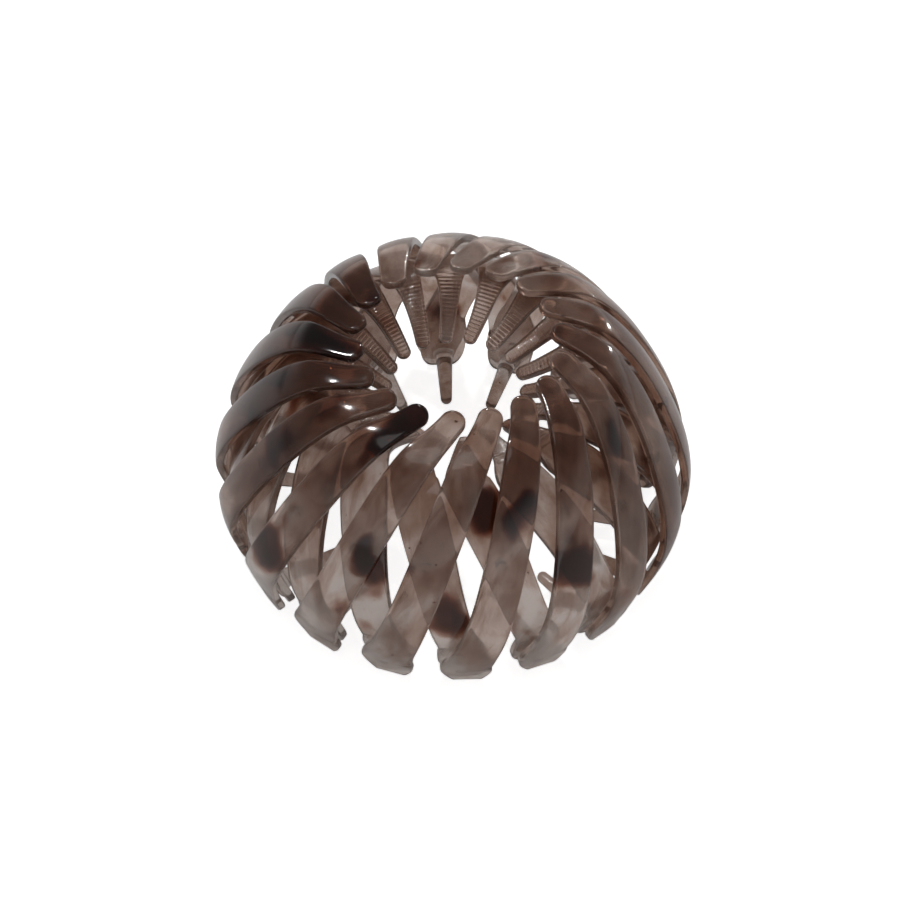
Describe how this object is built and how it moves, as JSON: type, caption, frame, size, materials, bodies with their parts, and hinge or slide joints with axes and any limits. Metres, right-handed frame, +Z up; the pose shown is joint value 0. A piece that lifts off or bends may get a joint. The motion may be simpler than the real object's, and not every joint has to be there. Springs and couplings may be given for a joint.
{
  "type": "expanding hair bun clip",
  "caption": "Ring of crossing curved blades on level pivots that opens like scissors to grip a hair bun, with comb fingers round its top opening and prongs at its feet.",
  "frame": {"origin": "middle of the ring of feet, on the surface that the feet stand on", "axes": "+Z up along the axis of the ring, through the opening in its top; the front faces -Y"},
  "size_m": [0.088, 0.0884, 0.0487],
  "materials": {
    "outer_plastic": "glossy translucent smoky brown with darker tortoise blotches",
    "inner_plastic": "glossy translucent warm brown, lighter than the outer blades"
  },
  "bodies": {
    "outer_blade_01": {"outer_blade_01": "outer_plastic"},
    "outer_blade_02": {"outer_blade_02": "outer_plastic"},
    "outer_blade_03": {"outer_blade_03": "outer_plastic"},
    "outer_blade_04": {"outer_blade_04": "outer_plastic"},
    "outer_blade_05": {"outer_blade_05": "outer_plastic"},
    "outer_blade_06": {"outer_blade_06": "outer_plastic"},
    "outer_blade_07": {"outer_blade_07": "outer_plastic"},
    "outer_blade_08": {"outer_blade_08": "outer_plastic"},
    "outer_blade_09": {"outer_blade_09": "outer_plastic"},
    "outer_blade_10": {"outer_blade_10": "outer_plastic"},
    "outer_blade_11": {"outer_blade_11": "outer_plastic"},
    "outer_blade_12": {"outer_blade_12": "outer_plastic"},
    "outer_blade_13": {"outer_blade_13": "outer_plastic"},
    "outer_blade_14": {"outer_blade_14": "outer_plastic"},
    "outer_blade_15": {"outer_blade_15": "outer_plastic"},
    "outer_blade_16": {"outer_blade_16": "outer_plastic"},
    "outer_blade_17": {"outer_blade_17": "outer_plastic"},
    "outer_blade_18": {"outer_blade_18": "outer_plastic"},
    "inner_blade_01": {"inner_blade_01": "inner_plastic"},
    "inner_blade_02": {"inner_blade_02": "inner_plastic"},
    "inner_blade_03": {"inner_blade_03": "inner_plastic"},
    "inner_blade_04": {"inner_blade_04": "inner_plastic"},
    "inner_blade_05": {"inner_blade_05": "inner_plastic"},
    "inner_blade_06": {"inner_blade_06": "inner_plastic"},
    "inner_blade_07": {"inner_blade_07": "inner_plastic"},
    "inner_blade_08": {"inner_blade_08": "inner_plastic"},
    "inner_blade_09": {"inner_blade_09": "inner_plastic"},
    "inner_blade_10": {"inner_blade_10": "inner_plastic"},
    "inner_blade_11": {"inner_blade_11": "inner_plastic"},
    "inner_blade_12": {"inner_blade_12": "inner_plastic"},
    "inner_blade_13": {"inner_blade_13": "inner_plastic"},
    "inner_blade_14": {"inner_blade_14": "inner_plastic"},
    "inner_blade_15": {"inner_blade_15": "inner_plastic"},
    "inner_blade_16": {"inner_blade_16": "inner_plastic"},
    "inner_blade_17": {"inner_blade_17": "inner_plastic"},
    "inner_blade_18": {"inner_blade_18": "inner_plastic"}
  },
  "joints": [
    {"name": "foot_pivot_01", "type": "hinge", "parent": "inner_blade_01", "child": "outer_blade_01", "pos_m": [0.00276, -0.0394, 0.005], "axis": [-0.0698, 0.9976, 0], "range_deg": [0, 8]},
    {"name": "crossing_pivot_01", "type": "hinge", "parent": "outer_blade_01", "child": "inner_blade_02", "pos_m": [0.00944, -0.03784, 0.03], "axis": [0.2419, -0.9703, 0], "range_deg": [0, 9.54]},
    {"name": "foot_pivot_02", "type": "hinge", "parent": "inner_blade_02", "child": "outer_blade_02", "pos_m": [0.01607, -0.03608, 0.005], "axis": [-0.4067, 0.9135, 0], "range_deg": [0, 8]},
    {"name": "crossing_pivot_02", "type": "hinge", "parent": "outer_blade_02", "child": "inner_blade_03", "pos_m": [0.02181, -0.03233, 0.03], "axis": [0.5592, -0.829, 0], "range_deg": [0, 9.54]},
    {"name": "foot_pivot_03", "type": "hinge", "parent": "inner_blade_03", "child": "outer_blade_03", "pos_m": [0.02744, -0.02841, 0.005], "axis": [-0.6947, 0.7193, 0], "range_deg": [0, 8]},
    {"name": "crossing_pivot_03", "type": "hinge", "parent": "outer_blade_03", "child": "inner_blade_04", "pos_m": [0.03155, -0.02292, 0.03], "axis": [0.809, -0.5878, 0], "range_deg": [0, 9.54]},
    {"name": "foot_pivot_04", "type": "hinge", "parent": "inner_blade_04", "child": "outer_blade_04", "pos_m": [0.0355, -0.01732, 0.005], "axis": [-0.8988, 0.4384, 0], "range_deg": [0, 8]},
    {"name": "crossing_pivot_04", "type": "hinge", "parent": "outer_blade_04", "child": "inner_blade_05", "pos_m": [0.03749, -0.01075, 0.03], "axis": [0.9613, -0.2756, 0], "range_deg": [0, 9.54]},
    {"name": "foot_pivot_05", "type": "hinge", "parent": "inner_blade_05", "child": "outer_blade_05", "pos_m": [0.03928, -0.00413, 0.005], "axis": [-0.9945, 0.1045, 0], "range_deg": [0, 8]},
    {"name": "crossing_pivot_05", "type": "hinge", "parent": "outer_blade_05", "child": "inner_blade_06", "pos_m": [0.03891, 0.00272, 0.03], "axis": [0.9976, 0.0698, 0], "range_deg": [0, 9.54]},
    {"name": "foot_pivot_06", "type": "hinge", "parent": "inner_blade_06", "child": "outer_blade_06", "pos_m": [0.03833, 0.00956, 0.005], "axis": [-0.9703, -0.2419, 0], "range_deg": [0, 8]},
    {"name": "crossing_pivot_06", "type": "hinge", "parent": "outer_blade_06", "child": "inner_blade_07", "pos_m": [0.03563, 0.01586, 0.03], "axis": [0.9135, 0.4067, 0], "range_deg": [0, 9.54]},
    {"name": "foot_pivot_07", "type": "hinge", "parent": "inner_blade_07", "child": "outer_blade_07", "pos_m": [0.03275, 0.02209, 0.005], "axis": [-0.829, -0.5592, 0], "range_deg": [0, 8]},
    {"name": "crossing_pivot_07", "type": "hinge", "parent": "outer_blade_07", "child": "inner_blade_08", "pos_m": [0.02805, 0.02709, 0.03], "axis": [0.7193, 0.6947, 0], "range_deg": [0, 9.54]},
    {"name": "foot_pivot_08", "type": "hinge", "parent": "inner_blade_08", "child": "outer_blade_08", "pos_m": [0.02322, 0.03196, 0.005], "axis": [-0.5878, -0.809, 0], "range_deg": [0, 8]},
    {"name": "crossing_pivot_08", "type": "hinge", "parent": "outer_blade_08", "child": "inner_blade_09", "pos_m": [0.0171, 0.03505, 0.03], "axis": [0.4384, 0.8988, 0], "range_deg": [0, 9.54]},
    {"name": "foot_pivot_09", "type": "hinge", "parent": "inner_blade_09", "child": "outer_blade_09", "pos_m": [0.01089, 0.03797, 0.005], "axis": [-0.2756, -0.9613, 0], "range_deg": [0, 8]},
    {"name": "crossing_pivot_09", "type": "hinge", "parent": "outer_blade_09", "child": "inner_blade_10", "pos_m": [0.00408, 0.03879, 0.03], "axis": [0.1045, 0.9945, 0], "range_deg": [0, 9.54]},
    {"name": "crossing_pivot_18", "type": "hinge", "parent": "inner_blade_01", "child": "outer_blade_18", "pos_m": [-0.00408, -0.03879, 0.03], "axis": [0.1045, 0.9945, 0], "range_deg": [0, 9.54]},
    {"name": "foot_pivot_18", "type": "hinge", "parent": "outer_blade_18", "child": "inner_blade_18", "pos_m": [-0.01089, -0.03797, 0.005], "axis": [-0.2756, -0.9613, 0], "range_deg": [0, 8]},
    {"name": "crossing_pivot_17", "type": "hinge", "parent": "inner_blade_18", "child": "outer_blade_17", "pos_m": [-0.0171, -0.03505, 0.03], "axis": [0.4384, 0.8988, 0], "range_deg": [0, 9.54]},
    {"name": "foot_pivot_17", "type": "hinge", "parent": "outer_blade_17", "child": "inner_blade_17", "pos_m": [-0.02322, -0.03196, 0.005], "axis": [-0.5878, -0.809, 0], "range_deg": [0, 8]},
    {"name": "crossing_pivot_16", "type": "hinge", "parent": "inner_blade_17", "child": "outer_blade_16", "pos_m": [-0.02805, -0.02709, 0.03], "axis": [0.7193, 0.6947, 0], "range_deg": [0, 9.54]},
    {"name": "foot_pivot_16", "type": "hinge", "parent": "outer_blade_16", "child": "inner_blade_16", "pos_m": [-0.03275, -0.02209, 0.005], "axis": [-0.829, -0.5592, 0], "range_deg": [0, 8]},
    {"name": "crossing_pivot_15", "type": "hinge", "parent": "inner_blade_16", "child": "outer_blade_15", "pos_m": [-0.03563, -0.01586, 0.03], "axis": [0.9135, 0.4067, 0], "range_deg": [0, 9.54]},
    {"name": "foot_pivot_15", "type": "hinge", "parent": "outer_blade_15", "child": "inner_blade_15", "pos_m": [-0.03833, -0.00956, 0.005], "axis": [-0.9703, -0.2419, 0], "range_deg": [0, 8]},
    {"name": "crossing_pivot_14", "type": "hinge", "parent": "inner_blade_15", "child": "outer_blade_14", "pos_m": [-0.03891, -0.00272, 0.03], "axis": [0.9976, 0.0698, 0], "range_deg": [0, 9.54]},
    {"name": "foot_pivot_14", "type": "hinge", "parent": "outer_blade_14", "child": "inner_blade_14", "pos_m": [-0.03928, 0.00413, 0.005], "axis": [-0.9945, 0.1045, 0], "range_deg": [0, 8]},
    {"name": "crossing_pivot_13", "type": "hinge", "parent": "inner_blade_14", "child": "outer_blade_13", "pos_m": [-0.03749, 0.01075, 0.03], "axis": [0.9613, -0.2756, 0], "range_deg": [0, 9.54]},
    {"name": "foot_pivot_13", "type": "hinge", "parent": "outer_blade_13", "child": "inner_blade_13", "pos_m": [-0.0355, 0.01732, 0.005], "axis": [-0.8988, 0.4384, 0], "range_deg": [0, 8]},
    {"name": "crossing_pivot_12", "type": "hinge", "parent": "inner_blade_13", "child": "outer_blade_12", "pos_m": [-0.03155, 0.02292, 0.03], "axis": [0.809, -0.5878, 0], "range_deg": [0, 9.54]},
    {"name": "foot_pivot_12", "type": "hinge", "parent": "outer_blade_12", "child": "inner_blade_12", "pos_m": [-0.02744, 0.02841, 0.005], "axis": [-0.6947, 0.7193, 0], "range_deg": [0, 8]},
    {"name": "crossing_pivot_11", "type": "hinge", "parent": "inner_blade_12", "child": "outer_blade_11", "pos_m": [-0.02181, 0.03233, 0.03], "axis": [0.5592, -0.829, 0], "range_deg": [0, 9.54]},
    {"name": "foot_pivot_11", "type": "hinge", "parent": "outer_blade_11", "child": "inner_blade_11", "pos_m": [-0.01607, 0.03608, 0.005], "axis": [-0.4067, 0.9135, 0], "range_deg": [0, 8]},
    {"name": "crossing_pivot_10", "type": "hinge", "parent": "inner_blade_11", "child": "outer_blade_10", "pos_m": [-0.00944, 0.03784, 0.03], "axis": [0.2419, -0.9703, 0], "range_deg": [0, 9.54]}
  ],
  "couplings": [
    {"joint": "crossing_pivot_01", "follows": "foot_pivot_01", "ratio": 1.1917},
    {"joint": "foot_pivot_02", "follows": "foot_pivot_01", "ratio": 1},
    {"joint": "crossing_pivot_02", "follows": "foot_pivot_01", "ratio": 1.1917},
    {"joint": "foot_pivot_03", "follows": "foot_pivot_01", "ratio": 1},
    {"joint": "crossing_pivot_03", "follows": "foot_pivot_01", "ratio": 1.1917},
    {"joint": "foot_pivot_04", "follows": "foot_pivot_01", "ratio": 1},
    {"joint": "crossing_pivot_04", "follows": "foot_pivot_01", "ratio": 1.1917},
    {"joint": "foot_pivot_05", "follows": "foot_pivot_01", "ratio": 1},
    {"joint": "crossing_pivot_05", "follows": "foot_pivot_01", "ratio": 1.1917},
    {"joint": "foot_pivot_06", "follows": "foot_pivot_01", "ratio": 1},
    {"joint": "crossing_pivot_06", "follows": "foot_pivot_01", "ratio": 1.1917},
    {"joint": "foot_pivot_07", "follows": "foot_pivot_01", "ratio": 1},
    {"joint": "crossing_pivot_07", "follows": "foot_pivot_01", "ratio": 1.1917},
    {"joint": "foot_pivot_08", "follows": "foot_pivot_01", "ratio": 1},
    {"joint": "crossing_pivot_08", "follows": "foot_pivot_01", "ratio": 1.1917},
    {"joint": "foot_pivot_09", "follows": "foot_pivot_01", "ratio": 1},
    {"joint": "crossing_pivot_09", "follows": "foot_pivot_01", "ratio": 1.1917},
    {"joint": "crossing_pivot_18", "follows": "foot_pivot_01", "ratio": 1.1917},
    {"joint": "foot_pivot_18", "follows": "foot_pivot_01", "ratio": 1},
    {"joint": "crossing_pivot_17", "follows": "foot_pivot_01", "ratio": 1.1917},
    {"joint": "foot_pivot_17", "follows": "foot_pivot_01", "ratio": 1},
    {"joint": "crossing_pivot_16", "follows": "foot_pivot_01", "ratio": 1.1917},
    {"joint": "foot_pivot_16", "follows": "foot_pivot_01", "ratio": 1},
    {"joint": "crossing_pivot_15", "follows": "foot_pivot_01", "ratio": 1.1917},
    {"joint": "foot_pivot_15", "follows": "foot_pivot_01", "ratio": 1},
    {"joint": "crossing_pivot_14", "follows": "foot_pivot_01", "ratio": 1.1917},
    {"joint": "foot_pivot_14", "follows": "foot_pivot_01", "ratio": 1},
    {"joint": "crossing_pivot_13", "follows": "foot_pivot_01", "ratio": 1.1917},
    {"joint": "foot_pivot_13", "follows": "foot_pivot_01", "ratio": 1},
    {"joint": "crossing_pivot_12", "follows": "foot_pivot_01", "ratio": 1.1917},
    {"joint": "foot_pivot_12", "follows": "foot_pivot_01", "ratio": 1},
    {"joint": "crossing_pivot_11", "follows": "foot_pivot_01", "ratio": 1.1917},
    {"joint": "foot_pivot_11", "follows": "foot_pivot_01", "ratio": 1},
    {"joint": "crossing_pivot_10", "follows": "foot_pivot_01", "ratio": 1.1917}
  ]
}
